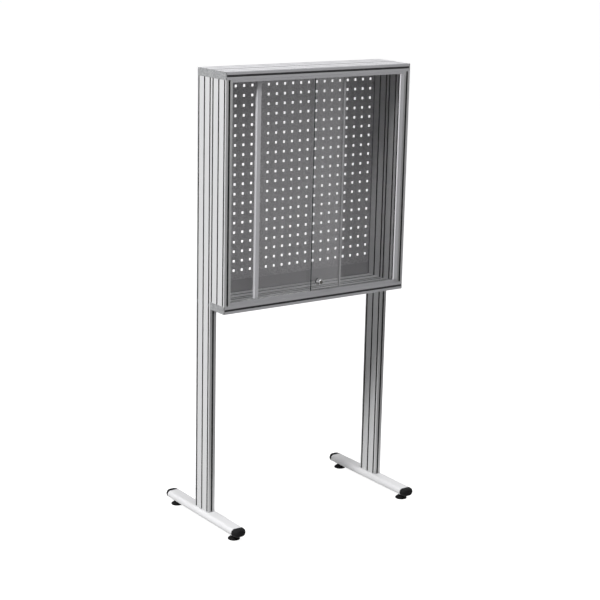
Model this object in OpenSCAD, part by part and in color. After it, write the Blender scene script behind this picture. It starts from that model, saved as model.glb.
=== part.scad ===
// Free-standing lockable notice board: a glazed case with a perforated back panel and
// two sliding glass doors, carried by two slotted aluminium posts on oval tube feet.
// Millimetres, +Z up, front towards -Y. The origin lies on the floor between the feet.

/* [Stand] */
// Overall height above the floor
stand_h = 1800; // [1500:10:2100]
// Overall width of the board
board_w = 860; // [700:20:1200]
// Height of the glazed case, over its top and bottom boards
case_h = 915; // [700:5:1100]

/* [Slotted profile] */
// Wide side of the extrusion
profile_w = 100; // [96:1:120]
// Thickness of the extrusion
profile_t = 30; // [28:0.5:40]
// Wall thickness of the extrusion
profile_wall = 2; // [1.5:0.25:2.5]
// Rounding of the extrusion's long edges
profile_edge_r = 1; // [0.5:0.25:1.5]
// Distance from the extrusion's edge to the middle of its outer grooves
slot_edge = 10; // [9:0.5:12]
// Width of a groove at its mouth
slot_mouth = 8; // [6:0.5:9]
// Width of a groove behind its lips
slot_inner = 12; // [11:0.5:13]
// Thickness of the groove lips
slot_lip = 2; // [1.5:0.25:2.5]
// Depth of the grooves in the wide faces
slot_depth = 7.5; // [6.5:0.25:8]
// Depth of the groove in each narrow face
edge_slot_depth = 5.5; // [5:0.25:6]
// Bore of the screw channels that run through the extrusion
channel_d = 5.5; // [5.4:0.1:6]

/* [End caps and keys] */
// Thickness of the plastic end caps
cap_t = 4; // [3:0.5:6]
// Step around the face of an end cap
cap_step = 1; // [0.5:0.25:1.5]
// Corner rounding of an end cap
cap_r = 2; // [1:0.5:4]
// Length of the plugs that hold an end cap
cap_plug_l = 8; // [5:1:12]
// Wall of those plugs
cap_plug_wall = 2; // [1.5:0.5:3]
// Length of the joining keys between neighbouring extrusions
key_l = 60; // [40:5:100]
// Distance of the outer joining keys from the ends
key_inset = 70; // [50:5:120]

/* [Back panel] */
// Thickness of the steel sheets
sheet_t = 1.5; // [1:0.25:2]
// Pitch of the square holes
hole_pitch = 38; // [30:1:50]
// Side of a square hole
hole_s = 10; // [8:0.5:12]
// Least margin beside the first and last column
side_margin = 15; // [12:1:20]
// Least margin above the top row
top_margin = 30; // [20:1:40]
// Visible height of the plain strip under the perforated sheet
strip_h = 48; // [40:1:70]
// Height of the splice strip behind the seam
splice_h = 40; // [30:1:50]
// Depth that the sheets reach into the grooves
sheet_grip = 5; // [4:0.5:5.5]
// Depth of the rubber gasket in a groove
gasket_h = 6.5; // [6:0.25:7]

/* [Sliding doors] */
// Thickness of the glass
glass_t = 5; // [4:0.5:6]
// Width of each channel in the tracks
channel_w = 8; // [7.5:0.5:9]
// Width of the rib between the two channels
divider_w = 4; // [3.5:0.5:6]
// Wall of the tracks
track_wall = 1.4; // [1.2:0.1:1.8]
// Height of the bottom track
bottom_track_h = 13.5; // [12:0.5:18]
// Height of the top track
top_track_h = 9.5; // [9:0.5:16]
// How far the closed doors pass over each other
door_overlap = 34; // [26:1:60]
// Place where the doors meet, from the middle of the board
meet_x = -8; // [-40:1:40]
// How far the left door stands open
left_open = 114.5; // [0:0.5:200]
// Gap between a closed door and the side profile
door_reveal = 1; // [0.8:0.1:1.5]
// Width of a door handle
handle_w = 17.5; // [14:0.5:20]
// Depth of a handle, front to back
handle_d = 14; // [13:0.25:14.5]
// Wall of a handle
handle_wall = 1.5; // [1.2:0.1:2]
// Depth that the glass reaches into a handle
handle_grip = 8; // [6:0.5:9]
// Gap between a handle's end and the track
handle_end_gap = 1; // [0.5:0.25:3]
// Width of the trim on the left door's free edge
trim_w = 5; // [4:0.5:8]
// Wall of that trim
trim_wall = 1.2; // [1:0.1:1.5]
// Length of a runner shoe
runner_l = 40; // [25:1:60]
// Height of a runner shoe
runner_h = 9; // [7:0.5:10]
// Thickness of a shoe under the glass
runner_sole = 3; // [2:0.5:4]
// Distance of the shoes from the ends of the glass
runner_inset = 25; // [10:1:60]
// Play above the doors in the top track
lift_play = 2; // [1:0.25:2.5]
// Height of a guide on top of the glass
guide_h = 5; // [4:0.5:6]
// Thickness of a guide over the glass
guide_top = 1.5; // [1:0.25:2]

/* [Push lock] */
// Height of the lock above the case floor
lock_h = 48; // [40:1:200]
// Diameter of the lock's front flange
lock_flange_d = 30; // [28:1:36]
// Thickness of that flange
lock_flange_t = 3; // [2:0.5:4]
// Diameter of the collar in front of the flange
lock_collar_d = 24; // [23:0.5:27]
// Length of that collar
lock_collar_l = 3; // [2:0.5:6]
// Diameter of the barrel that passes through the glass
lock_barrel_d = 22; // [21:0.5:24]
// Diameter of the sliding cylinder
lock_cylinder_d = 19; // [18:0.5:19.5]
// Length of the sliding cylinder
lock_cylinder_l = 12; // [11:0.5:12.25]
// How far the released cylinder stands proud of the collar
lock_proud = 7; // [6.5:0.5:9]
// Travel of the cylinder when it is pushed in
lock_travel = 6; // [5:0.25:6.5]
// Diameter of the bolt
bolt_d = 6; // [5:0.5:7]
// Gap between the bolt and the closed left door
bolt_gap = 1; // [0.5:0.25:2]
// Diameter of the turning plug
plug_d = 12; // [10:0.5:13]
// Length of the turning plug
plug_l = 10; // [8:0.5:10]
// Width of the keyway
keyway_w = 1.6; // [1.2:0.1:2]
// Height of the keyway
keyway_h = 7; // [5:0.5:8]
// Depth of the keyway
keyway_l = 8; // [5:0.5:8]
// Diameter of the retaining nut
lock_nut_d = 28; // [26:1:30]
// Thickness of the retaining nut
lock_nut_t = 1.8; // [1.5:0.1:2]
// Rear wall of the barrel
lock_wall = 2; // [1.5:0.25:2]
// Thickness of the lock's rubber ring
lock_ring_t = 1; // [0.5:0.25:1.5]

/* [Feet] */
// Length of each foot, front to back, over its caps
foot_l = 540; // [460:10:700]
// Width of the foot tube
foot_w = 60; // [55:1:80]
// Height of the foot tube
foot_h = 30; // [28:1:30]
// Wall of the foot tube
foot_wall = 2; // [1.5:0.25:3]
// Clear height under the foot tube
foot_gap = 22; // [20:1:24]
// Length of a foot cap's nose
nose_l = 28; // [26:1:40]
// Corner rounding of the nose, seen from above
nose_r = 24; // [18:1:25]
// Rounding of the nose, seen from the side
nose_side_r = 10; // [6:1:13]
// Length of the plug that holds a foot cap
nose_plug_l = 14; // [10:1:16]
// Distance of the levelling feet from the foot's ends
leveller_inset = 54; // [52:1:80]
// Diameter of a levelling pad
pad_d = 48; // [40:1:56]
// Thickness of a pad's rim
pad_rim_t = 3; // [2:0.5:4]
// Height of a pad's rounded shoulder
pad_shoulder_h = 5.5; // [5:0.5:6]
// Inset of a pad's shoulder
pad_shoulder = 2.5; // [1.5:0.5:4]
// Diameter at the top of a pad's cone
pad_top_d = 17; // [16:0.5:20]
// Height of a pad
pad_h = 15; // [13:0.5:15.5]
// Diameter of a levelling spindle
spindle_d = 10; // [8:0.5:12]
// Length of a levelling spindle
spindle_l = 40; // [36:1:41]
// Width across the corners of the spindle's hexagon
spindle_hex_d = 16; // [14:0.5:18]

/* [Screws] */
// Diameter of a screw's shank
screw_d = 6; // [5.6:0.1:6]
// Diameter of a screw's threaded core, as it lies in a channel
screw_core_d = 5.3; // [5:0.05:5.35]
// Length of the threaded part
screw_core_l = 30; // [20:1:40]
// Diameter of a screw's head
screw_head_d = 10; // [9:0.5:10.5]
// Height of a screw's head
screw_head_h = 5; // [4:0.25:5.5]
// Width across the corners of a screw's hexagon socket
screw_socket_d = 5.6; // [4:0.2:6]
// Depth of that socket
screw_socket_h = 2.5; // [2:0.25:3]
// Thickness of the washers inside the feet
washer_t = 1.6; // [1:0.2:2]
// Diameter of those washers
washer_d = 18; // [14:1:24]
// Diameter of the access holes under the feet
access_d = 20; // [19:1:24]

/* [Hidden] */
$fn = 64;

// Overrun of every cut
cut = 1;
// Clearance of pieces that are pushed into a groove
fit = 0.15;
// Side clearance of the shoes in their track
slide_fit = 0.3;
// Radial clearance of turning and sliding round pieces
run_fit = 0.05;
// Clearance of the sheets and glass in their seats
seat_fit = 0.1;
// Radial clearance of a screw's shank or head in its bore
bore_fit = 0.3;
// Gap between pieces that pass each other
pass_gap = 0.8;
// Clearance between the pushed bolt and the rear pane
bolt_clear = 0.6;

// Places of the extrusions
slot_pitch = profile_w / 2 - slot_edge;
half_w = board_w / 2;
post_x = half_w - profile_t / 2;
inner_w = board_w - 2 * profile_t;
inner_x = inner_w / 2;
front_cy = -profile_w;
front_y = front_cy - profile_w / 2;
joint_y = -profile_w / 2;
beam_l = board_w - 2 * cap_t;
foot_top_z = foot_gap + foot_h;
case_z = stand_h - case_h;
floor_z = case_z + profile_t;
ceiling_z = stand_h - profile_t;
low_beam_z = case_z + profile_t / 2;
top_beam_z = stand_h - profile_t / 2;
chamber_w = slot_pitch - slot_inner - 2 * profile_wall;
chamber_h = profile_t - 2 * profile_wall;

// Places of the doors
pane_pitch = channel_w + divider_w;
front_pane_y = front_y + track_wall + channel_w / 2;
rear_pane_y = front_pane_y + pane_pitch;
track_d = 2 * track_wall + 2 * channel_w + divider_w;
pass_y = front_pane_y + glass_t / 2 + lock_nut_t;
shut_x = inner_x - door_reveal;
left_door_w = shut_x + meet_x + door_overlap / 2;
right_door_w = shut_x - meet_x + door_overlap / 2;
left_door_x = left_open - shut_x;
right_door_x = shut_x - right_door_w;
shoe_z = floor_z + track_wall + slide_fit;
glass_z = shoe_z + runner_sole;
door_top_z = ceiling_z - track_wall - lift_play;
glass_top_z = door_top_z - guide_top;
handle_z = floor_z + bottom_track_h + handle_end_gap;
handle_top_z = ceiling_z - top_track_h - handle_end_gap;
shoe_w = channel_w - 2 * slide_fit;
glass_slot = glass_t + 2 * seat_fit;

// Places of the lock, whose axis runs along Y
lock_x = left_door_w - shut_x + bolt_gap + bolt_d / 2;
lock_z = floor_z + lock_h;
lock_face_y = front_pane_y - glass_t / 2;
lock_flange_z = -lock_ring_t - lock_flange_t;
lock_mouth_z = lock_flange_z - lock_collar_l;
lock_back_z = glass_t + lock_nut_t;
lock_front_z = lock_mouth_z - lock_proud;
cylinder_back_z = lock_front_z + lock_cylinder_l;
bolt_tip_z = pane_pitch - bolt_clear - lock_travel;

// Places of the feet
tube_l = foot_l - 2 * nose_l;
leveller_y = foot_l / 2 - leveller_inset;
inner_foot_w = foot_w - 2 * foot_wall;
inner_foot_h = foot_h - 2 * foot_wall;
hex_h = foot_gap - pad_h - slide_fit;
nut_h = inner_foot_h / 3;

// Rows and columns of the perforated sheet
seam_z = floor_z + strip_h;
columns = floor((inner_w - 2 * side_margin) / hole_pitch);
rows = floor((ceiling_z - seam_z - hole_pitch - top_margin) / hole_pitch);

// Rectangle with true round corners, about the middle
module rounded_rect(w, h, r) {
    square([w - 2 * r, h], center = true);
    square([w, h - 2 * r], center = true);
    for (x = [-1, 1], y = [-1, 1])
        translate([x * (w / 2 - r), y * (h / 2 - r)])
            circle(r = r);
}

// Flat-sided oval
module oval(w, h) {
    square([w - h, h], center = true);
    for (x = [-1, 1])
        translate([x * (w - h) / 2, 0])
            circle(d = h);
}

// Undercut groove that opens upwards at the origin
module groove(depth) {
    translate([-slot_mouth / 2, -slot_lip - seat_fit])
        square([slot_mouth, slot_lip + seat_fit + cut]);
    translate([-slot_inner / 2, -depth])
        square([slot_inner, depth - slot_lip]);
}

// Section of the extrusion: three grooves on each wide face, one on each narrow face
module profile_section() {
    difference() {
        rounded_rect(profile_w, profile_t, profile_edge_r);
        for (side = [0, 1], i = [-1, 0, 1])
            mirror([0, side])
                translate([i * slot_pitch, profile_t / 2])
                    groove(slot_depth);
        for (side = [0, 1])
            mirror([side, 0])
                translate([profile_w / 2, 0])
                    rotate(-90)
                        groove(edge_slot_depth);
        for (i = [-1, 0, 1])
            translate([i * slot_pitch, 0])
                circle(d = channel_d);
        for (i = [-1, 1])
            translate([i * slot_pitch / 2, 0])
                square([chamber_w, chamber_h], center = true);
    }
}

// Bore for a screw: it starts at the face, with room for the head in the groove
module screw_bore() {
    translate([0, 0, -slot_depth])
        cylinder(d = screw_head_d + 2 * bore_fit, h = slot_depth + cut);
    translate([0, 0, -profile_t - cut])
        cylinder(d = screw_d + 2 * bore_fit, h = profile_t + cut);
}

// Screw whose head rests on the plane z = 0 and whose shank points down
module screw(shank_l) {
    translate([0, 0, -shank_l])
        cylinder(d = screw_d, h = shank_l);
    translate([0, 0, -shank_l - screw_core_l])
        cylinder(d = screw_core_d, h = screw_core_l);
    difference() {
        cylinder(d = screw_head_d, h = screw_head_h);
        translate([0, 0, screw_head_h - screw_socket_h])
            cylinder(d = screw_socket_d, h = screw_socket_h + cut, $fn = 6);
    }
}

// Upright extrusion from z0 to z1
module upright(z0, z1) {
    translate([0, 0, z0])
        rotate([0, 0, 90])
            linear_extrude(z1 - z0)
                profile_section();
}

// Lying extrusion, centred on the board's middle
module beam(len) {
    rotate([90, 0, 90])
        linear_extrude(len, center = true)
            profile_section();
}

module post(side) {
    color("#c3c6ca")
        difference() {
            translate([side * post_x, 0, 0])
                upright(foot_top_z, ceiling_z);
            for (y = [-1, 1])
                translate([side * half_w, y * slot_pitch, low_beam_z])
                    rotate([0, side * 90, 0])
                        screw_bore();
        }
}

module side_profile(side) {
    color("#c3c6ca")
        translate([side * post_x, front_cy, 0])
            upright(floor_z, ceiling_z);
}

module top_profile(cy) {
    color("#cdd0d3")
        difference() {
            translate([0, cy, top_beam_z])
                beam(beam_l);
            for (x = [-1, 1], y = [-1, 1])
                translate([x * post_x, cy + y * slot_pitch, stand_h])
                    screw_bore();
        }
}

module bottom_front_profile() {
    color("#cdd0d3")
        difference() {
            translate([0, front_cy, low_beam_z])
                beam(beam_l);
            for (x = [-1, 1], y = [-1, 1])
                translate([x * post_x, front_cy + y * slot_pitch, case_z])
                    mirror([0, 0, 1])
                        screw_bore();
        }
}

module bottom_rear_profile() {
    color("#cdd0d3")
        translate([0, 0, low_beam_z])
            beam(inner_w);
}

// Double-T section that fills the facing grooves of two extrusions
module key_section() {
    flange_h = edge_slot_depth - slot_lip - 2 * fit;
    square([slot_mouth - 2 * fit, 2 * (slot_lip + 2 * fit)], center = true);
    for (y = [0, 1])
        mirror([0, y])
            translate([-slot_inner / 2 + fit, slot_lip + fit])
                square([slot_inner - 2 * fit, flange_h]);
}

module side_joining_keys() {
    color("#7c7f83")
        for (x = [-1, 1], z = [floor_z + key_inset, ceiling_z - key_inset])
            translate([x * post_x, joint_y, z])
                linear_extrude(key_l, center = true)
                    key_section();
}

module beam_keys(z, reach) {
    color("#7c7f83")
        for (x = [-1, 0, 1])
            translate([x * (reach - key_inset), joint_y, z])
                rotate([0, 90, 0])
                    linear_extrude(key_l, center = true)
                        key_section();
}

// Stepped end cap over a number of extrusions side by side, with its plugs
module end_cap(count) {
    w = count * profile_w;
    color("#a9acb0") {
        translate([0, 0, beam_l / 2])
            linear_extrude(cap_t - cap_step)
                rounded_rect(w, profile_t, cap_r);
        translate([0, 0, half_w - cap_step])
            linear_extrude(cap_step)
                rounded_rect(w - 2 * cap_step, profile_t - 2 * cap_step, cap_r - cap_step / 2);
        for (i = [0:count - 1], j = [-1, 1])
            translate([(i - (count - 1) / 2) * profile_w + j * slot_pitch / 2, 0, beam_l / 2 - cap_plug_l])
                linear_extrude(cap_plug_l)
                    difference() {
                        square([chamber_w - 2 * fit, chamber_h - 2 * fit], center = true);
                        square([chamber_w - 2 * cap_plug_wall, chamber_h - 2 * cap_plug_wall], center = true);
                    }
    }
}

// A cap drawn along +Z is turned to face +X, and mirrored for the left side
module placed_cap(side, count, cy, z) {
    mirror([side < 0 ? 1 : 0, 0, 0])
        translate([0, cy, z])
            rotate([90, 0, 90])
                end_cap(count);
}

// Upright sheet between two heights, reaching into the side grooves
module sheet(z0, z1, t) {
    translate([0, slot_pitch + sheet_t / 2, 0])
        rotate([90, 0, 0])
            linear_extrude(t)
                translate([-inner_x - sheet_grip, z0])
                    square([inner_w + 2 * sheet_grip, z1 - z0]);
}

module perforated_panel() {
    color("#9a999d")
        translate([0, slot_pitch + sheet_t / 2, 0])
            rotate([90, 0, 0])
                linear_extrude(sheet_t)
                    difference() {
                        translate([-inner_x - sheet_grip, seam_z])
                            square([inner_w + 2 * sheet_grip, ceiling_z + sheet_grip - seam_z]);
                        for (i = [0:columns], j = [0:rows])
                            translate([(i - columns / 2) * hole_pitch, seam_z + (j + 1) * hole_pitch])
                                square(hole_s, center = true);
                    }
}

module lower_strip() {
    color("#979699")
        sheet(floor_z - sheet_grip, seam_z - slide_fit, sheet_t);
}

module splice_strip() {
    color("#9a999d")
        translate([-inner_x + door_reveal, slot_pitch + sheet_t / 2, seam_z - splice_h / 2])
            cube([inner_w - 2 * door_reveal, sheet_t, splice_h]);
}

// Rubber strip that fills a groove's mouth and grips the sheet
module gasket_section() {
    difference() {
        translate([-slot_mouth / 2 + fit, -gasket_h])
            square([slot_mouth - 2 * fit, gasket_h]);
        translate([-sheet_t / 2 - seat_fit, -sheet_grip - seat_fit])
            square([sheet_t + 2 * seat_fit, gasket_h]);
    }
}

module panel_gaskets() {
    case_inner_h = ceiling_z - floor_z;
    color("#1d1d1f") {
        for (side = [0, 1])
            mirror([side, 0, 0])
                translate([inner_x, slot_pitch, floor_z])
                    linear_extrude(case_inner_h)
                        rotate(90)
                            gasket_section();
        for (side = [0, 1])
            translate([0, slot_pitch, side > 0 ? ceiling_z : floor_z])
                mirror([0, 0, side])
                    rotate([90, 0, 90])
                        linear_extrude(inner_w, center = true)
                            gasket_section();
    }
}

// Two-channel door track, drawn upwards from z = 0, with the rib that clips in a groove
module track(h, len) {
    rotate([90, 0, 90])
        linear_extrude(len, center = true) {
            translate([front_y, 0])
                square([track_d, track_wall]);
            for (y = [0, track_d - track_wall])
                translate([front_y + y, 0])
                    square([track_wall, h]);
            translate([front_y + track_wall + channel_w, 0])
                square([divider_w, h]);
            translate([front_cy - slot_pitch - slot_mouth / 2 + fit, -slot_lip])
                square([slot_mouth - 2 * fit, slot_lip + track_wall]);
        }
}

module bottom_track() {
    color("#b9bcc0")
        translate([0, 0, floor_z])
            track(bottom_track_h, inner_w - 2 * fit);
}

module top_track() {
    color("#b9bcc0")
        translate([0, 0, ceiling_z])
            mirror([0, 0, 1])
                track(top_track_h, inner_w - 2 * fit);
}

// Rubber strip in the side profile's front groove, where a closed door lands
module door_seal(side) {
    seal_z = floor_z + bottom_track_h;
    seal_top_z = ceiling_z - top_track_h;
    proud = door_reveal / 2;
    color("#2a2a2c")
        mirror([side < 0 ? 1 : 0, 0, 0])
            translate([inner_x, front_cy - slot_pitch, seal_z])
                linear_extrude(seal_top_z - seal_z) {
                    translate([-proud, -slot_mouth / 2 + fit])
                        square([proud + slot_lip + fit, slot_mouth - 2 * fit]);
                    translate([slot_lip + fit, -slot_inner / 2 + fit])
                        square([slot_depth / 2, slot_inner - 2 * fit]);
                }
}

// Glass pane between two heights
module pane(x0, x1, cy) {
    translate([x0, cy - glass_t / 2, glass_z])
        cube([x1 - x0, glass_t, glass_top_z - glass_z]);
}

// Handle extrusion with its glass slot on the +X side; y_front is its front face
module handle_section(y_front, pane_y) {
    difference() {
        translate([handle_w / 2, y_front + handle_d / 2])
            rounded_rect(handle_w, handle_d, handle_wall / 2);
        translate([handle_w - handle_grip - seat_fit, pane_y - glass_slot / 2])
            square([handle_grip + seat_fit + cut, glass_slot]);
        translate([handle_wall, y_front + handle_wall])
            square([handle_w - handle_grip - 3 * handle_wall, handle_d - 2 * handle_wall]);
    }
}

// Shoe or guide: a block as thick as its sole, with a slot that holds the glass
module shoe(x, cy, h, sole) {
    translate([x, cy, 0])
        rotate([90, 0, 90])
            linear_extrude(runner_l, center = true)
                difference() {
                    translate([-shoe_w / 2, 0])
                        square([shoe_w, h]);
                    translate([-glass_slot / 2, sole])
                        square([glass_slot, h - sole + cut]);
                }
}

module runners(x0, x1, cy) {
    color("#e4e4e0")
        for (x = [x0 + runner_inset, x1 - runner_inset])
            translate([0, 0, shoe_z])
                shoe(x, cy, runner_h, runner_sole);
}

module guides(x0, x1, cy) {
    color("#e4e4e0")
        for (x = [x0 + runner_inset, x1 - runner_inset])
            translate([0, 0, door_top_z])
                mirror([0, 0, 1])
                    shoe(x, cy, guide_h, guide_top);
}

left_glass_x0 = left_door_x + handle_w - handle_grip;
left_glass_x1 = left_door_x + left_door_w - trim_wall - seat_fit;
right_glass_x0 = right_door_x;
right_glass_x1 = shut_x - handle_w + handle_grip;

module left_glass() {
    color("#b8d4cc")
        pane(left_glass_x0, left_glass_x1, rear_pane_y);
}

module left_handle() {
    color("#dfe1e3")
        translate([left_door_x, 0, handle_z])
            linear_extrude(handle_top_z - handle_z)
                handle_section(pass_y + pass_gap, rear_pane_y);
}

// U-trim on the free edge, with the fin that the bolt stops
module left_edge_trim() {
    leg = glass_t / 2 + seat_fit + trim_wall;
    fin_y = pass_y + pass_gap;
    color("#d0d2d4")
        translate([left_door_x + left_door_w, 0, handle_z])
            linear_extrude(handle_top_z - handle_z) {
                difference() {
                    translate([-trim_w, rear_pane_y - leg])
                        square([trim_w, 2 * leg]);
                    translate([-trim_w - trim_wall, rear_pane_y - glass_slot / 2])
                        square([trim_w, glass_slot]);
                }
                translate([-trim_wall, fin_y])
                    square([trim_wall, rear_pane_y - leg - fin_y]);
            }
}

module right_glass() {
    color("#b8d4cc")
        difference() {
            pane(right_glass_x0, right_glass_x1, front_pane_y);
            lock_place()
                translate([0, 0, -cut])
                    cylinder(d = lock_barrel_d + 2 * bore_fit, h = glass_t + 2 * cut);
        }
}

module right_handle() {
    color("#dfe1e3")
        translate([shut_x, 0, handle_z])
            mirror([1, 0, 0])
                linear_extrude(handle_top_z - handle_z)
                    handle_section(pass_y - handle_d, front_pane_y);
}

// The lock is drawn along +Z from the front pane's face and turned to run along +Y
module lock_place() {
    translate([lock_x, lock_face_y, lock_z])
        rotate([-90, 0, 0])
            children();
}

module lock_housing() {
    bore_back_z = lock_back_z - lock_wall;
    color("#c9cbce")
        lock_place()
            difference() {
                union() {
                    translate([0, 0, lock_mouth_z])
                        cylinder(d = lock_collar_d, h = lock_collar_l + lock_flange_t / 2);
                    translate([0, 0, lock_flange_z])
                        cylinder(d = lock_flange_d, h = lock_flange_t);
                    translate([0, 0, lock_flange_z])
                        cylinder(d = lock_barrel_d, h = lock_back_z - lock_flange_z);
                }
                translate([0, 0, lock_mouth_z - cut])
                    cylinder(d = lock_cylinder_d + 2 * run_fit, h = bore_back_z - lock_mouth_z + cut);
                translate([0, 0, bore_back_z - cut])
                    cylinder(d = bolt_d + 2 * run_fit, h = lock_wall + 2 * cut);
            }
}

module lock_ring() {
    color("#151515")
        lock_place()
            translate([0, 0, -lock_ring_t])
                difference() {
                    cylinder(d = lock_flange_d - cap_step, h = lock_ring_t);
                    translate([0, 0, -cut])
                        cylinder(d = lock_barrel_d + 2 * seat_fit, h = lock_ring_t + 2 * cut);
                }
}

module lock_nut() {
    color("#c9cbce")
        lock_place()
            translate([0, 0, glass_t])
                difference() {
                    cylinder(d = lock_nut_d, h = lock_nut_t);
                    translate([0, 0, -cut])
                        cylinder(d = lock_barrel_d + 2 * seat_fit, h = lock_nut_t + 2 * cut);
                }
}

module lock_cylinder() {
    socket_l = plug_l + slide_fit;
    color("#d9dbdd")
        lock_place()
            difference() {
                union() {
                    translate([0, 0, lock_front_z + cap_step])
                        cylinder(d = lock_cylinder_d, h = lock_cylinder_l - cap_step);
                    translate([0, 0, lock_front_z])
                        cylinder(d1 = lock_cylinder_d - 2 * cap_step, d2 = lock_cylinder_d, h = cap_step);
                    translate([0, 0, cylinder_back_z - cap_step])
                        cylinder(d = bolt_d, h = bolt_tip_z - cylinder_back_z + cap_step);
                }
                translate([0, 0, lock_front_z - cut])
                    cylinder(d = plug_d + 2 * run_fit, h = socket_l + cut);
            }
}

module lock_plug() {
    color("#b5a878")
        lock_place()
            difference() {
                translate([0, 0, lock_front_z - slide_fit])
                    cylinder(d = plug_d, h = plug_l + slide_fit);
                translate([-keyway_w / 2, -keyway_h / 2, lock_front_z - slide_fit - cut])
                    cube([keyway_w, keyway_h, keyway_l + cut]);
            }
}

// Foot tube with its screw, access and levelling holes
module foot_tube(side) {
    color("#f2f2f0")
        translate([side * post_x, 0, foot_gap + foot_h / 2])
            difference() {
                rotate([90, 0, 0])
                    linear_extrude(tube_l, center = true)
                        difference() {
                            oval(foot_w, foot_h);
                            oval(inner_foot_w, inner_foot_h);
                        }
                for (y = [-1, 1]) {
                    translate([0, y * slot_pitch, 0])
                        cylinder(d = screw_d + 2 * bore_fit, h = foot_h);
                    translate([0, y * slot_pitch, -foot_h])
                        cylinder(d = access_d, h = foot_h);
                    translate([0, y * leveller_y, -foot_h])
                        cylinder(d = spindle_d + 2 * bore_fit, h = foot_h);
                }
            }
}

// Rounded plastic nose: the tube's oval, cut by a round plan and a round side view
module foot_cap(side, front) {
    color("#141414")
        translate([side * post_x, front * tube_l / 2, foot_gap + foot_h / 2])
            mirror([0, front < 0 ? 1 : 0, 0]) {
                intersection() {
                    rotate([-90, 0, 0])
                        linear_extrude(nose_l)
                            oval(foot_w, foot_h);
                    linear_extrude(foot_h + 2 * cut, center = true)
                        rounded_rect(foot_w, 2 * nose_l, nose_r);
                    rotate([90, 0, 90])
                        linear_extrude(foot_w + 2 * cut, center = true)
                            rounded_rect(2 * nose_l, foot_h, nose_side_r);
                }
                rotate([90, 0, 0])
                    linear_extrude(nose_plug_l)
                        difference() {
                            oval(inner_foot_w - 2 * fit, inner_foot_h - 2 * fit);
                            oval(inner_foot_w - 4 * foot_wall, inner_foot_h - 4 * foot_wall);
                        }
            }
}

module at_leveller(side, front) {
    translate([side * post_x, front * leveller_y, 0])
        children();
}

module pad(side, front) {
    socket_z = pad_shoulder_h;
    color("#161616")
        at_leveller(side, front)
            difference() {
                union() {
                    cylinder(d = pad_d, h = pad_rim_t);
                    translate([0, 0, pad_rim_t])
                        cylinder(d1 = pad_d, d2 = pad_d - 2 * pad_shoulder, h = pad_shoulder_h - pad_rim_t);
                    translate([0, 0, pad_shoulder_h])
                        cylinder(d1 = pad_d - 2 * pad_shoulder, d2 = pad_top_d, h = pad_h - pad_shoulder_h);
                }
                translate([0, 0, socket_z])
                    cylinder(d = spindle_d + 2 * seat_fit, h = pad_h);
            }
}

module spindle(side, front) {
    color("#2b2b2d")
        at_leveller(side, front) {
            translate([0, 0, pad_shoulder_h])
                cylinder(d = spindle_d, h = spindle_l);
            translate([0, 0, pad_h])
                cylinder(d = spindle_hex_d, h = hex_h, $fn = 6);
        }
}

module leveller_nuts() {
    color("#8f9296")
        for (x = [-1, 1], y = [-1, 1])
            at_leveller(x, y)
                translate([0, 0, foot_gap + foot_wall])
                    difference() {
                        cylinder(d = 2 * spindle_d, h = nut_h, $fn = 6);
                        translate([0, 0, -cut])
                            cylinder(d = spindle_d + 2 * run_fit, h = nut_h + 2 * cut);
                    }
}

module foot_screws() {
    color("#8f9296")
        for (x = [-1, 1], y = [-1, 1])
            translate([x * post_x, y * slot_pitch, foot_top_z - foot_wall - washer_t])
                mirror([0, 0, 1])
                    screw(foot_wall + washer_t);
}

module foot_washers() {
    color("#8f9296")
        for (x = [-1, 1], y = [-1, 1])
            translate([x * post_x, y * slot_pitch, foot_top_z - foot_wall - washer_t])
                difference() {
                    cylinder(d = washer_d, h = washer_t);
                    translate([0, 0, -cut])
                        cylinder(d = screw_d + 2 * seat_fit, h = washer_t + 2 * cut);
                }
}

module top_screws() {
    color("#8f9296")
        for (x = [-1, 1], cy = [0, front_cy], y = [-1, 1])
            translate([x * post_x, cy + y * slot_pitch, stand_h - slot_depth])
                screw(profile_t - slot_depth);
}

module bottom_screws() {
    color("#8f9296")
        for (x = [-1, 1], y = [-1, 1])
            translate([x * post_x, front_cy + y * slot_pitch, case_z + slot_depth])
                mirror([0, 0, 1])
                    screw(profile_t - slot_depth);
}

module cross_screws() {
    color("#8f9296")
        for (x = [-1, 1], y = [-1, 1])
            translate([x * (half_w - slot_depth), y * slot_pitch, low_beam_z])
                rotate([0, x * 90, 0])
                    screw(profile_t - slot_depth);
}

post(-1);  // left_post
post(1);  // right_post
side_profile(-1);  // left_side_profile
side_profile(1);  // right_side_profile
top_profile(front_cy);  // top_front_profile
top_profile(0);  // top_rear_profile
bottom_front_profile();
bottom_rear_profile();
side_joining_keys();
beam_keys(top_beam_z, beam_l / 2);  // top_joining_keys
beam_keys(low_beam_z, inner_x);  // bottom_joining_keys
placed_cap(-1, 2, joint_y, top_beam_z);  // top_left_cap
placed_cap(1, 2, joint_y, top_beam_z);  // top_right_cap
placed_cap(-1, 1, front_cy, low_beam_z);  // bottom_left_cap
placed_cap(1, 1, front_cy, low_beam_z);  // bottom_right_cap
perforated_panel();
lower_strip();
splice_strip();
panel_gaskets();
bottom_track();
top_track();
door_seal(-1);  // left_door_seal
door_seal(1);  // right_door_seal
left_glass();
left_handle();
left_edge_trim();
runners(left_glass_x0, left_glass_x1, rear_pane_y);  // left_door_runners
guides(left_glass_x0, left_glass_x1, rear_pane_y);  // left_door_guides
right_glass();
right_handle();
runners(right_glass_x0, right_glass_x1, front_pane_y);  // right_door_runners
guides(right_glass_x0, right_glass_x1, front_pane_y);  // right_door_guides
lock_housing();
lock_ring();
lock_nut();
lock_cylinder();
lock_plug();
foot_tube(-1);  // left_foot_tube
foot_tube(1);  // right_foot_tube
foot_cap(-1, -1);  // left_front_foot_cap
foot_cap(-1, 1);  // left_rear_foot_cap
foot_cap(1, -1);  // right_front_foot_cap
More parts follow.
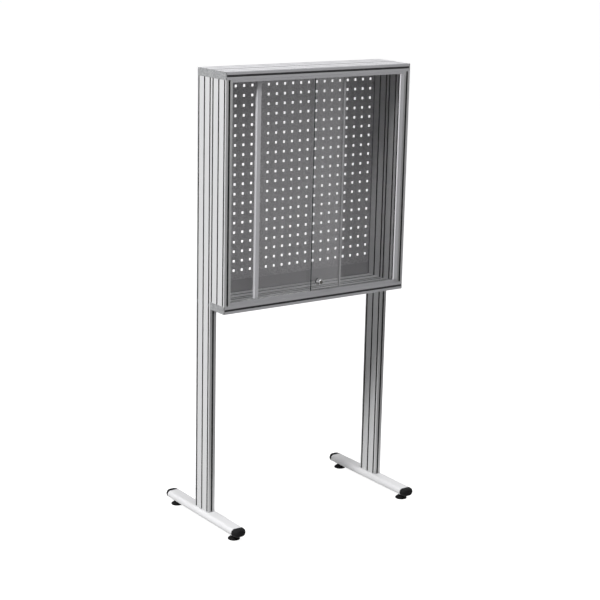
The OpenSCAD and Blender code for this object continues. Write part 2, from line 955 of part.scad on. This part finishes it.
foot_cap(1, 1);  // right_rear_foot_cap
pad(-1, -1);  // left_front_pad
pad(-1, 1);  // left_rear_pad
pad(1, -1);  // right_front_pad
pad(1, 1);  // right_rear_pad
spindle(-1, -1);  // left_front_spindle
spindle(-1, 1);  // left_rear_spindle
spindle(1, -1);  // right_front_spindle
spindle(1, 1);  // right_rear_spindle
leveller_nuts();
foot_screws();
foot_washers();
top_screws();
bottom_screws();
cross_screws();
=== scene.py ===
import math

import bmesh
import bpy
from mathutils import Matrix, Vector


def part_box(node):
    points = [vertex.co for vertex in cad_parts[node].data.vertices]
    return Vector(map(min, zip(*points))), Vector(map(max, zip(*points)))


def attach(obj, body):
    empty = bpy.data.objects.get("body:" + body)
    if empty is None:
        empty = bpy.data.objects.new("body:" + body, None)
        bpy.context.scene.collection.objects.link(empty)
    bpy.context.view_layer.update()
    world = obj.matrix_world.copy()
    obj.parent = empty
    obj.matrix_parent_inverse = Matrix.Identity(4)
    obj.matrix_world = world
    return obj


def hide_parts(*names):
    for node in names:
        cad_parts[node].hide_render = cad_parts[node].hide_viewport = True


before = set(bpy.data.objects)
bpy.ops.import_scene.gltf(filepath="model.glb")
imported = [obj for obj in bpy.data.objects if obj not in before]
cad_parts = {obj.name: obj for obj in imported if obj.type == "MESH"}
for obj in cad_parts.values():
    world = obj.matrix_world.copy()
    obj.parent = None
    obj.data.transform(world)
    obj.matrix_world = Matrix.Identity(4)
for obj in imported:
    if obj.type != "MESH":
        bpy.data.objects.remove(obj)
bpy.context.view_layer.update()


# Slotted extrusions: two posts, two side profiles and four beams of the case.
# Aluminium pressed through a die, cut to length and anodised silver, so each one carries fine
# straight die lines along its length and a soft satin sheen; keys and screws join them.

post_dark, post_light = (0.55, 0.553, 0.558), (0.62, 0.623, 0.628)
beam_dark, beam_light = (0.55, 0.548, 0.570), (0.62, 0.618, 0.640)
# Brighter colours for the faces that look up, painted light on the sill and the tracks.
painted_top_bright = (0.90, 0.905, 0.915)
painted_top_dim = tuple(0.92 * part for part in painted_top_bright)
# Painted shade in the slots: how far in metres the blocked view is sought, and the least share of
# colour left there.
slot_reach = 0.012
slot_painted_shade = 0.05


class Value:
    """A shader socket; arithmetic on it adds Math nodes."""

    def __init__(self, tree, socket):
        self.tree = tree
        self.socket = socket

    def maths(self, operation, *terms):
        """Math node whose inputs are numbers or values."""
        node = self.tree.nodes.new("ShaderNodeMath")
        node.operation = operation
        for socket, term in zip(node.inputs, terms):
            if isinstance(term, Value):
                self.tree.links.new(term.socket, socket)
            else:
                socket.default_value = term
        return Value(self.tree, node.outputs[0])

    def __add__(self, other):
        return self.maths("ADD", self, other)

    def __radd__(self, other):
        return self.maths("ADD", other, self)

    def __sub__(self, other):
        return self.maths("SUBTRACT", self, other)

    def __rsub__(self, other):
        return self.maths("SUBTRACT", other, self)

    def __mul__(self, other):
        return self.maths("MULTIPLY", self, other)

    def __rmul__(self, other):
        return self.maths("MULTIPLY", other, self)

    def __pow__(self, other):
        return self.maths("POWER", self, other)


class Nodes:
    """A shader's tree, which grows one node at a time."""

    def __init__(self, tree):
        self.tree = tree

    def node(self, kind, settings, sockets, output=0):
        """A node's output, once its settings and the values or links of its sockets are set."""
        made = self.tree.nodes.new(kind)
        for label, value in settings.items():
            if label == "stops":
                for stop, (place, grey) in zip(made.color_ramp.elements, value):
                    stop.position = place
                    stop.color = (grey, grey, grey, 1)
            else:
                setattr(made, label, value)
        for label, value in sockets.items():
            if isinstance(value, Value):
                self.tree.links.new(value.socket, made.inputs[label])
            else:
                made.inputs[label].default_value = value
        return Value(self.tree, made.outputs[output])


class Finish(Nodes):
    """A material with one Principled surface; constants are set on the surface's own sockets."""

    def __init__(self, name, **constants):
        self.material = bpy.data.materials.new(name)
        self.material.use_nodes = True
        super().__init__(self.material.node_tree)
        self.surface = self.tree.nodes["Principled BSDF"]
        for label, value in constants.items():
            self.surface.inputs[label.replace("_", " ")].default_value = value

    def place(self, stretch=(1, 1, 1)):
        """Object coordinates in metres; a pattern grows longer where stretch is small."""
        where = self.node("ShaderNodeTexCoord", {}, {}, "Object")
        return self.node("ShaderNodeMapping", {}, {"Vector": where, "Scale": stretch})

    def noise(self, size, stretch=(1, 1, 1), detail=2.0, roughness=0.55):
        """Noise from 0 to 1 whose features are about size metres."""
        return self.node("ShaderNodeTexNoise", {},
                         {"Vector": self.place(stretch), "Scale": 1 / size, "Detail": detail,
                          "Roughness": roughness})

    def blend(self, share, low, high):
        """Colour low where share is 0 and colour high where it is 1."""
        low, high = (colour if isinstance(colour, Value) else (*colour, 1)
                     for colour in (low, high))
        return self.node("ShaderNodeMix", {"data_type": "RGBA"},
                         {"Factor": share, 6: low, 7: high}, 2)

    def bump(self, height, depth):
        """Surface relief of the given depth in metres for a height from 0 to 1."""
        return self.node("ShaderNodeBump", {}, {"Height": height, "Distance": depth})

    def shade(self, colour, reach, least):
        """Painted shade: the colour, darkened down to a least share of it where the view within
        reach is blocked, as in a slot or corner.
        """
        view = self.node("ShaderNodeAmbientOcclusion", {"samples": 6, "only_local": True},
                         {"Distance": reach}, "AO")
        share = self.node("ShaderNodeMapRange", {"interpolation_type": "SMOOTHSTEP"},
                          {"Value": view, "From Min": 0.50, "From Max": 0.96, "To Min": least})
        return self.node("ShaderNodeVectorMath", {"operation": "SCALE"},
                         {0: colour, "Scale": share})

    def facing_up(self):
        """1 on faces that look up, 0 on all others."""
        normal = self.node("ShaderNodeNewGeometry", {}, {}, "Normal")
        height = self.node("ShaderNodeSeparateXYZ", {}, {"Vector": normal}, "Z")
        return self.node("ShaderNodeMapRange", {},
                         {"Value": height, "From Min": 0.7, "From Max": 0.9})

    def feed(self, **inputs):
        """Links values to sockets of the surface."""
        for label, value in inputs.items():
            self.tree.links.new(value.socket, self.surface.inputs[label.replace("_", " ")])


def drawn(axis, share):
    """Stretch that draws a pattern out into lines along one axis (0, 1 or 2)."""
    return [share if i == axis else 1.0 for i in range(3)]


def dress(finish, *nodes):
    """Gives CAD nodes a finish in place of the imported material."""
    for name in nodes:
        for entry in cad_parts[name].material_slots:
            entry.material = finish.material


def anodised(name, axis, dark, light, metallic=0.30, rough=0.40, painted_top_light=False):
    """Satin anodised extrusion with die lines along an axis, and painted shade that darkens its
    slots.

    With its last option set, painted light makes the faces that look up brighter.
    """
    lines = drawn(axis, 0.004)
    f = Finish(name, Metallic=metallic, Specular_IOR_Level=0.3)
    fine = f.noise(0.0009, lines)
    broad = f.noise(0.012, lines)
    cloud = f.noise(0.16)
    pores = f.noise(0.0006, detail=1.0)
    share = fine * 0.45 + broad * 0.35 + cloud * 0.2
    colour = f.blend(share, dark, light)
    # Painted light: the faces that look up get a brighter colour.
    if painted_top_light:
        colour = f.blend(f.facing_up(), colour, f.blend(share, painted_top_dim, painted_top_bright))
    # Painted shade: slots and corners are darkened in the base colour.
    f.feed(
        Base_Color=f.shade(colour, slot_reach, slot_painted_shade),
        Roughness=rough - 0.06 + 0.09 * fine + 0.05 * cloud,
        Normal=f.bump(fine * 0.8 + pores * 0.2, 0.00006),
    )
    return f


post_finish = anodised("anodised_uprights", 2, post_dark, post_light)
beam_finish = anodised("anodised_beams", 0, beam_dark, beam_light)
# The sill's faces that look up carry painted light that makes them brighter.
sill_finish = anodised("anodised_sill", 0, beam_dark, beam_light, painted_top_light=True)
dress(post_finish, "left_post", "right_post", "left_side_profile", "right_side_profile")
dress(beam_finish, "top_front_profile", "top_rear_profile")
dress(sill_finish, "bottom_front_profile", "bottom_rear_profile")


# Joining keys between neighbouring extrusions.
# Short lengths of mill-finish aluminium, sawn off and pushed into the facing grooves.

key_finish = Finish("mill_finish_keys", Metallic=0.85)
saw = key_finish.noise(0.0012, drawn(2, 0.2), detail=3.0)
key_finish.feed(
    Base_Color=key_finish.blend(saw, (0.44, 0.45, 0.47), (0.55, 0.56, 0.58)),
    Roughness=0.38 + 0.16 * saw,
    Normal=key_finish.bump(saw, 0.00005),
)
dress(key_finish, "side_joining_keys", "top_joining_keys", "bottom_joining_keys")


# End caps on the cut ends of the beams.
# Injection-moulded grey plastic with an eroded, slightly sparkling grain, held by hollow plugs.


def eroded(finish, size):
    """Grain of a spark-eroded mould, with pits of about size metres."""
    return finish.node("ShaderNodeTexVoronoi", {}, {"Vector": finish.place(), "Scale": 1 / size},
                       "Distance")


cap_dark, cap_light = (0.15, 0.153, 0.158), (0.38, 0.385, 0.39)
cap_finish = Finish("grained_cap_plastic", Metallic=0.0)
speck = cap_finish.noise(0.0028)
patch = cap_finish.noise(0.005, detail=3.0)
cap_tone = cap_finish.node("ShaderNodeValToRGB", {"stops": [(0.40, 0.0), (0.60, 1.0)]},
                           {"Fac": speck * 0.6 + patch * 0.4})
cap_finish.feed(
    Base_Color=cap_finish.blend(cap_tone, cap_dark, cap_light),
    Roughness=0.46 + 0.14 * speck,
    Normal=cap_finish.bump(eroded(cap_finish, 0.0011) * 0.5 + speck * 0.5, 0.00012),
)
dress(cap_finish, "top_left_cap", "top_right_cap", "bottom_left_cap", "bottom_right_cap")


# Back panel: perforated upper sheet, plain strip below it and the splice strip behind the seam.
# Steel sheet, punched with square holes, then powder coated grey, which leaves soft flecks and a
# fine orange-peel skin; the sheets stand in the rear grooves and the splice strip is bonded on.

panel_dark, panel_light = (0.43, 0.422, 0.438), (0.69, 0.682, 0.698)
strip_dark, strip_light = (0.42, 0.413, 0.428), (0.49, 0.483, 0.498)


def powder_coat(name, dark, light, flecks=0.5, peel=0.0014, depth=0.00005, rough=0.5):
    """Powder coat with flecks of that contrast and an orange peel of that size and depth."""
    f = Finish(name, Metallic=0.0)
    skin = f.noise(peel, roughness=0.4)
    dust = f.noise(0.00045, detail=1.0)
    cloud = f.noise(0.09, detail=3.0)
    fleck = f.noise(0.0045, roughness=0.7)
    tone = (fleck - 0.5) * flecks + 0.25 * dust + 0.35 * cloud + 0.2
    f.feed(
        Base_Color=f.blend(tone, dark, light),
        Roughness=rough - 0.05 + 0.12 * skin + 0.05 * cloud,
        Normal=f.bump(skin * 0.85 + dust * 0.15, depth),
    )
    return f


panel_finish = powder_coat("panel_powder_coat", panel_dark, panel_light, flecks=4.5)
strip_finish = powder_coat("strip_powder_coat", strip_dark, strip_light)
dress(panel_finish, "perforated_panel", "splice_strip")
dress(strip_finish, "lower_strip")


# Rubber strips: gaskets that grip the panel, and the seals that the closed doors land on.
# Extruded black rubber, pressed into the grooves, with faint drag lines and a dusty bloom.

rubber_dark, rubber_dusty = (0.018, 0.018, 0.019), (0.048, 0.048, 0.050)


def rubber(name, axis):
    """Black rubber, extruded along an axis."""
    f = Finish(name, Metallic=0.0)
    drag = f.noise(0.0008, drawn(axis, 0.01))
    bloom = f.noise(0.02, detail=4.0)
    f.feed(
        Base_Color=f.blend(bloom * 0.7 + drag * 0.3, rubber_dark, rubber_dusty),
        Roughness=0.62 + 0.16 * drag + 0.08 * bloom,
        Normal=f.bump(drag, 0.00006),
    )
    return f


gasket_finish = rubber("black_rubber_gasket", 2)
dress(gasket_finish, "panel_gaskets", "left_door_seal", "right_door_seal")


# Door tracks at the floor and the ceiling of the case.
# Thin two-channel extrusions, anodised like the frame and clipped in its grooves; their faces that
# look up carry painted light that makes them brighter.

track_dark, track_light = (0.53, 0.527, 0.552), (0.60, 0.597, 0.622)
track_finish = anodised("anodised_tracks", 0, track_dark, track_light, rough=0.38, painted_top_light=True)
dress(track_finish, "bottom_track", "top_track")


# Panes of the two doors: the left one runs behind, and the right one is drilled for the lock.
# Clear 5 mm float glass, cut with small round corners, its edges arrised and polished; from the
# side a long edge looks dark green. The handles and the shoes are pushed on.

arris = 0.0007
pane_corner = 0.0015
corner_steps = 4
hole_steps = 60
lock_hole = 0.0113
housing_low, housing_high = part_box("lock_housing")
lock_axis = (housing_low + housing_high) / 2


def clear_glass():
    """See-through faces of a pane, which mirror a little straight on and more aslant."""
    f = Finish("clear_float_glass", Base_Color=(0.90, 0.89, 0.91, 1), Metallic=1.0)
    wipe = f.noise(0.05, drawn(2, 0.35), detail=4.0)
    f.feed(Roughness=0.015 + 0.05 * wipe)
    slant = f.node("ShaderNodeLayerWeight", {}, {"Blend": 0.5}, "Facing")
    mirrored = 0.058 + 0.008 * wipe + 0.92 * slant ** 5
    through = f.node("ShaderNodeBsdfTransparent", {}, {"Color": (0.989, 0.989, 0.989, 1)})
    gloss = Value(f.tree, f.surface.outputs[0])
    both = f.node("ShaderNodeMixShader", {}, {"Fac": mirrored, 1: through, 2: gloss})
    f.tree.links.new(both.socket, f.tree.nodes["Material Output"].inputs["Surface"])
    return f


def glass_edge():
    """Ground and polished edge of a pane, dark green by the depth of glass behind it."""
    f = Finish("polished_glass_edge", Metallic=0.0, Specular_IOR_Level=0.1)
    grind = f.noise(0.0007, (0.3, 1, 0.05))
    f.feed(
        Base_Color=f.blend(grind, (0.004, 0.009, 0.008), (0.012, 0.024, 0.021)),
        Roughness=0.16 + 0.14 * grind,
    )
    return f


pane_faces = clear_glass()
pane_edges = glass_edge()


def in_scene(name, data):
    """New object of the scene around a mesh, lamp or camera."""
    made = bpy.data.objects.new(name, data)
    bpy.context.scene.collection.objects.link(made)
    return made


def pane_outline(half_x, half_z):
    """Rectangle with round corners about the middle of a pane."""
    outline = []
    for x_sign, z_sign, start in ((1, 1, 0), (-1, 1, 90), (-1, -1, 180), (1, -1, 270)):
        for k in range(corner_steps + 1):
            a = math.radians(start + 90 / corner_steps * k)
            outline.append((x_sign * (half_x - pane_corner) + pane_corner * math.cos(a),
                            z_sign * (half_z - pane_corner) + pane_corner * math.sin(a)))
    return outline


def hole_outline(x, z, radius):
    """Circle about (x, z), turning the other way round than the outline."""
    turns = [-2 * math.pi * k / hole_steps for k in range(hole_steps)]
    return [(x + radius * math.cos(a), z + radius * math.sin(a)) for a in turns]


def make_pane(name, node, body, drilled=False):
    """Pane in its node's place, with arrised edges and, where drilled, the hole for the lock."""
    low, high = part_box(node)
    middle = (low + high) / 2
    half = (high - low) / 2
    loops = [pane_outline(half.x - arris, half.z - arris)]
    if drilled:
        hole = lock_axis - middle
        loops.append(hole_outline(hole.x, hole.z, lock_hole + arris))
    curve = bpy.data.curves.new(name, "CURVE")
    curve.dimensions = "2D"
    curve.fill_mode = "BOTH"
    curve.extrude = half.y - arris
    curve.bevel_depth = arris
    curve.bevel_resolution = 2
    for points in loops:
        line = curve.splines.new("POLY")
        line.points.add(len(points) - 1)
        line.use_cyclic_u = True
        for point, (u, v) in zip(line.points, points):
            point.co = (u, v, 0, 1)
    sketch = bpy.data.objects.new(name + "_outline", curve)
    mesh = bpy.data.meshes.new_from_object(sketch)
    bpy.data.objects.remove(sketch)
    mesh.transform(Matrix.Translation(middle) @ Matrix.Rotation(math.pi / 2, 4, "X"))
    mesh.materials.clear()
    mesh.materials.append(pane_faces.material)
    mesh.materials.append(pane_edges.material)
    nearly_square = 0.98
    for face in mesh.polygons:
        face.material_index = 0 if abs(face.normal.y) > nearly_square else 1
    pane = in_scene(name, mesh)
    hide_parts(node)
    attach(pane, body)


make_pane("left_pane", "left_glass", "left_door")
make_pane("right_pane", "right_glass", "right_door", drilled=True)


# Handles: the left pane's on its left edge and the right pane's on its right edge.
# Aluminium extrusion, anodised to a duller satin than the frame, cut to the pane's height and
# pushed onto the glass.

handle_dark, handle_light = (0.54, 0.537, 0.558), (0.60, 0.597, 0.618)
handle_finish = anodised("satin_handles", 2, handle_dark, handle_light, metallic=0.0, rough=0.48)
dress(handle_finish, "left_handle", "right_handle")


# Glazing lips: the soft strips that close the gap between a handle and the glass.
# A 1.2 mm bead of black rubber on each face of the pane, tucked against the handle's mouth.

lip_width = 0.0012
lip_height = 0.0007
lip_steps = 6
lip_short = 0.0005
lip_finish = rubber("glazing_lip_rubber", 2)


def skin_over(name, rings, finish):
    """Closed mesh over rings of equally many points; its first face fills the first ring."""
    bm = bmesh.new()
    rows = [[bm.verts.new(point) for point in ring] for ring in rings]
    bm.faces.new(rows[0])
    bm.faces.new(rows[-1])
    for near, far in zip(rows, rows[1:]):
        for i in range(len(near)):
            bm.faces.new((near[i - 1], near[i], far[i], far[i - 1]))
    bmesh.ops.recalc_face_normals(bm, faces=bm.faces)
    mesh = bpy.data.meshes.new(name)
    bm.to_mesh(mesh)
    bm.free()
    mesh.materials.append(finish.material)
    return mesh


def make_lip(name, handle, glass, side, face, body):
    """Round bead beside a handle: side is where the glass lies, face is -1 front or 1 rear."""
    handle_low, handle_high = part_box(handle)
    glass_low, glass_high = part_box(glass)
    x = handle_high.x if side > 0 else handle_low.x
    y = glass_high.y if face > 0 else glass_low.y
    half = lip_width / 2
    bead = []
    for k in range(lip_steps + 1):
        a = math.pi * k / lip_steps
        bead.append((x + side * (half - half * math.cos(a)), y + face * lip_height * math.sin(a)))
    ends = (handle_low.z + lip_short, handle_high.z - lip_short)
    mesh = skin_over(name, [[(u, v, z) for u, v in bead] for z in ends], lip_finish)
    lip = in_scene(name, mesh)
    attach(lip, body)


for door, inwards in (("left", 1), ("right", -1)):
    for lip_name, face in (("front", -1), ("rear", 1)):
        make_lip(door + "_lip_" + lip_name, door + "_handle", door + "_glass", inwards, face,
                 door + "_door")


# Edge trim on the left pane's right edge, behind the right pane.
# Milky plastic, extruded as a U and pushed onto the glass, with the fin that the bolt stops.

trim_finish = Finish("milky_trim_plastic", Metallic=0.0)
haze = trim_finish.noise(0.004, drawn(2, 0.05))
trim_finish.feed(
    Base_Color=trim_finish.blend(haze, (0.52, 0.52, 0.53), (0.62, 0.62, 0.63)),
    Roughness=0.22 + 0.16 * haze,
)
dress(trim_finish, "left_edge_trim")


# Runners under the panes and guides above them.
# Blocks of pale slippery plastic with a slot for the glass, moulded, scuffed along the track.

shoe_finish = Finish("running_shoe_plastic", Metallic=0.0)
flow = shoe_finish.noise(0.006, drawn(0, 0.3), detail=3.0)
scuff = shoe_finish.noise(0.0007, drawn(0, 0.02))
shoe_finish.feed(
    Base_Color=shoe_finish.blend(flow, (0.70, 0.70, 0.66), (0.82, 0.82, 0.79)),
    Roughness=0.34 + 0.2 * scuff,
    Normal=shoe_finish.bump(scuff, 0.00004),
)
dress(shoe_finish, "left_door_runners", "left_door_guides", "right_door_runners",
      "right_door_guides")


# Push lock through the right pane: housing, rubber ring, nut, sliding cylinder and key plug.
# Turned from brass bar, which leaves fine rings around the lock's axis, and nickel plated; the
# plug is coloured darker than the other lock parts.

plating_dark, plating_light = (0.66, 0.66, 0.67), (0.84, 0.84, 0.85)
plug_dark, plug_light = (0.20, 0.19, 0.17), (0.36, 0.34, 0.31)


def turned(name, dark, light, rough):
    """Turned metal: tool rings around the lock's axis, which runs along Y."""
    f = Finish(name, Metallic=1.0)
    where = f.node("ShaderNodeTexCoord", {}, {}, "Object")
    x, y, z = (f.node("ShaderNodeSeparateXYZ", {}, {"Vector": where}, axis) for axis in "XYZ")
    across, above = x - lock_axis.x, z - lock_axis.z
    radius = (across * across + above * above) ** 0.5
    around = f.node("ShaderNodeCombineXYZ", {}, {"X": radius, "Y": y, "Z": 0.0})
    ring_pitch = 0.00035
    rings = f.node("ShaderNodeTexNoise", {},
                   {"Vector": around, "Scale": 1 / ring_pitch, "Detail": 2.0})
    tarnish = f.noise(0.004, detail=3.0)
    f.feed(
        Base_Color=f.blend(rings * 0.5 + tarnish * 0.5, dark, light),
        Roughness=rough + 0.14 * rings + 0.08 * tarnish,
        Normal=f.bump(rings, 0.00003),
    )
    return f


nickel_finish = turned("nickel_plate", plating_dark, plating_light, 0.10)
plug_finish = turned("dark_plated_brass", plug_dark, plug_light, 0.20)
ring_finish = rubber("lock_ring_rubber", 1)
dress(nickel_finish, "lock_housing", "lock_nut", "lock_cylinder")
dress(plug_finish, "lock_plug")
dress(ring_finish, "lock_ring")


# Feet: oval steel tubes across the bottom of the posts.
# Tube cut to length, drilled for the screws that hold it to its post, and powder coated light
# grey, nearly white.

tube_dark, tube_light = (0.665, 0.665, 0.675), (0.745, 0.745, 0.755)
tube_finish = powder_coat("foot_powder_coat", tube_dark, tube_light, peel=0.0018, depth=0.00006,
                          rough=0.40)
dress(tube_finish, "left_foot_tube", "right_foot_tube")


# Noses on the ends of the foot tubes.
# Black plastic, moulded with a fine spark-eroded grain and rounded on every side, each held in
# its tube by a plug.

nose_length = 0.028
nose_plan_round = 0.024
nose_side_round = 0.010
nose_rings = 16
nose_arc = 10


def moulded(name, dark, light, grain):
    """Black moulded plastic with an eroded grain of about grain metres."""
    f = Finish(name, Metallic=0.0, Specular_IOR_Level=0.07)
    pits = eroded(f, grain)
    wear = f.noise(0.015, detail=4.0)
    f.feed(
        Base_Color=f.blend(wear, dark, light),
        Roughness=0.50 + 0.12 * pits + 0.10 * wear,
        Normal=f.bump(pits, 0.00008),
    )
    return f


nose_finish = moulded("black_moulded_noses", (0.006, 0.006, 0.007), (0.014, 0.014, 0.015), 0.0007)


def rounded_off(half, radius, out):
    """Half size of a nose at a distance out of its tube, with its tip rounded by radius."""
    past = max(0.0, out - nose_length + radius)
    return half - radius + math.sqrt(max(0.0, radius ** 2 - past ** 2))


def make_nose(name, node, way):
    """Smooth nose in its node's place, with its tip towards way (-1 or 1) on the Y axis."""
    low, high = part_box(node)
    middle = (low + high) / 2
    half = (high - low) / 2
    mouth = (high.y if way > 0 else -low.y) - nose_length
    rings = []
    for k in range(nose_rings):
        out = nose_length * math.sin(math.pi / 2 * k / (nose_rings - 1))
        wide = rounded_off(half.x, nose_plan_round, out)
        tall = rounded_off(half.z, nose_side_round, out)
        oval = []
        for side in (1, -1):
            for i in range(nose_arc + 1):
                a = math.radians(180 * i / nose_arc - side * 90)
                oval.append((middle.x + side * (wide - tall) + tall * math.cos(a),
                             way * (mouth + out), middle.z + tall * math.sin(a)))
        rings.append(oval)
    mesh = skin_over(name, rings, nose_finish)
    for face in mesh.polygons[1:]:
        face.use_smooth = True
    nose = in_scene(name, mesh)
    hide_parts(node)
    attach(nose, "stand")


for side in ("left", "right"):
    make_nose(side + "_front_nose", side + "_front_foot_cap", -1)
    make_nose(side + "_rear_nose", side + "_rear_foot_cap", 1)


# Levelling feet under the ends of the foot tubes.
# Black plastic pads, moulded, on blackened steel spindles that screw into the tubes' nuts.

pad_finish = moulded("black_moulded_pads", (0.005, 0.005, 0.006), (0.013, 0.013, 0.013), 0.0009)
dress(pad_finish, "left_front_pad", "left_rear_pad", "right_front_pad", "right_rear_pad")

spindle_finish = Finish("blackened_steel", Metallic=0.8)
oiled = spindle_finish.noise(0.003, detail=3.0)
spindle_finish.feed(
    Base_Color=spindle_finish.blend(oiled, (0.10, 0.10, 0.105), (0.24, 0.24, 0.25)),
    Roughness=0.36 + 0.16 * oiled,
)
dress(spindle_finish, "left_front_spindle", "left_rear_spindle", "right_front_spindle",
      "right_rear_spindle")


# Screws, washers and nuts that hold the frame and the feet together.
# Zinc-plated steel with the faint cloudy sheen of the plating bath.

zinc_finish = Finish("zinc_plated_steel", Metallic=0.9)
bath = zinc_finish.noise(0.0025, detail=4.0)
zinc_finish.feed(
    Base_Color=zinc_finish.blend(bath, (0.46, 0.47, 0.49), (0.60, 0.61, 0.62)),
    Roughness=0.28 + 0.18 * bath,
    Normal=zinc_finish.bump(bath, 0.00002),
)
dress(zinc_finish, "leveller_nuts", "foot_screws", "foot_washers", "top_screws", "bottom_screws",
      "cross_screws")


# Studio: pale floor, white surroundings, reflector cards and four soft lamps.
# Camera, mirror and see-through rays meet white; the lamps do the lighting, a strong one from
# the left, two from above and a weak one from the right, with a little light from all around.

ambient = 0.09
floor_reach = 40.0
floor_grey = 0.40
floor_glow = 0.91


def bare_view(nodes):
    """1 for the rays that look at the studio, and 0 for those that carry its light."""
    camera, mirror, through = (nodes.node("ShaderNodeLightPath", {}, {}, f"Is {way} Ray")
                               for way in ("Camera", "Glossy", "Transmission"))
    either = nodes.node("ShaderNodeMath", {"operation": "MAXIMUM"}, {0: mirror, 1: through})
    return nodes.node("ShaderNodeMath", {"operation": "MAXIMUM"}, {0: camera, 1: either})


def studio_sheet(name, finish, left, right, profile):
    """Sheet from left to right on the X axis that passes through (y, z) places."""
    mesh = bpy.data.meshes.new(name)
    mesh.from_pydata([(x, y, z) for y, z in profile for x in (left, right)], [],
                     [(2 * i, 2 * i + 1, 2 * i + 3, 2 * i + 2) for i in range(len(profile) - 1)])
    mesh.materials.append(finish.material)
    sheet = in_scene(name, mesh)
    return sheet


world = bpy.data.worlds.new("studio")
bpy.context.scene.world = world
world.use_nodes = True
background = world.node_tree.nodes["Background"]
background.inputs["Color"].default_value = (1, 1, 1, 1)
world_level = bare_view(Nodes(world.node_tree)) * (1 - ambient) + ambient
world.node_tree.links.new(world_level.socket, background.inputs["Strength"])

floor_finish = Finish("studio_floor", Base_Color=(floor_grey, floor_grey, floor_grey, 1),
                      Roughness=1.0, Emission_Strength=floor_glow)
floor_finish.feed(Emission_Color=floor_finish.blend(bare_view(floor_finish), (0, 0, 0), (1, 1, 1)))
floor_edges = [(-floor_reach, 0), (floor_reach, 0)]
studio_sheet("floor", floor_finish, -floor_reach, floor_reach, floor_edges)


def card(name, level, left, right, profile):
    """Reflector card of a plain grey level, which only mirror rays meet."""
    f = Finish(name, Base_Color=(0, 0, 0, 1), Roughness=1.0, Specular_IOR_Level=0.0,
               Emission_Color=(1, 1, 1, 1), Emission_Strength=level)
    sheet = studio_sheet(name, f, left, right, profile)
    sheet.visible_camera = sheet.visible_diffuse = False
    sheet.visible_transmission = sheet.visible_shadow = False


# The front card is what the front faces mirror, the pane card what the glass mirrors over the
# left door, and the rear card what the right post's inner face mirrors.
card("front_card", level=0.05, left=-2.2, right=4.5,
     profile=[(-0.45, 0.004), (-2.6, 0.004), (-3.2, 0.4), (-3.2, 3.6)])
card("pane_card", level=0.42, left=1.05, right=1.89, profile=[(-2.5, 0.05), (-2.5, 1.65)])
card("rear_card", level=0.10, left=-0.45, right=0.3, profile=[(0.6, 0.12), (0.6, 0.9)])


def lamp(name, place, aim, width, height, watts):
    """Soft oblong lamp at a place, turned to shine at aim; the camera doesn't see it."""
    light = bpy.data.lights.new(name, "AREA")
    light.shape = "RECTANGLE"
    light.size = width
    light.size_y = height
    light.energy = watts
    holder = in_scene(name, light)
    holder.location = place
    holder.rotation_mode = "QUATERNION"
    holder.rotation_quaternion = (Vector(aim) - Vector(place)).to_track_quat("-Z", "Y")
    holder.visible_camera = False


lamp("key", place=(-5.28, -1.20, 5.2), aim=(-0.1, -0.05, 0.95), width=1.2, height=1.2, watts=465)
lamp("top", place=(-0.4, -0.6, 9.0), aim=(0.0, -0.05, 1.0), width=4.0, height=3.6, watts=290)
lamp("high", place=(-0.6, -3.5, 8.4), aim=(0.0, -0.05, 1.0), width=3.0, height=2.4, watts=75)
lamp("fill", place=(3.6, -4.1, 4.9), aim=(0.0, -0.05, 1.2), width=1.8, height=1.8, watts=42)


# Camera: the photograph's view from the left, slightly above the case.
# Its place in metres, its turn in radians and its lens in millimetres come from a fit to the
# board's edges.

eye = (-3.49987, -4.98780, 2.38312)
yaw, pitch, roll = 0.61557, -0.24522, 0.02238
sensor_width = 36
focal_length = 93.80
far_limit = 200

ahead = Vector((math.sin(yaw) * math.cos(pitch), math.cos(yaw) * math.cos(pitch), math.sin(pitch)))
level_right = Vector((math.cos(yaw), -math.sin(yaw), 0))
level_up = level_right.cross(ahead)
right = level_right * math.cos(roll) + level_up * math.sin(roll)
up = level_up * math.cos(roll) - level_right * math.sin(roll)
lens = bpy.data.cameras.new("camera")
lens.sensor_width = sensor_width
lens.lens = focal_length
lens.clip_end = far_limit
camera = in_scene("camera", lens)
camera.matrix_world = Matrix.Translation(eye) @ Matrix((right, up, -ahead)).transposed().to_4x4()
bpy.context.scene.camera = camera
bpy.context.scene.view_settings.view_transform = "Standard"
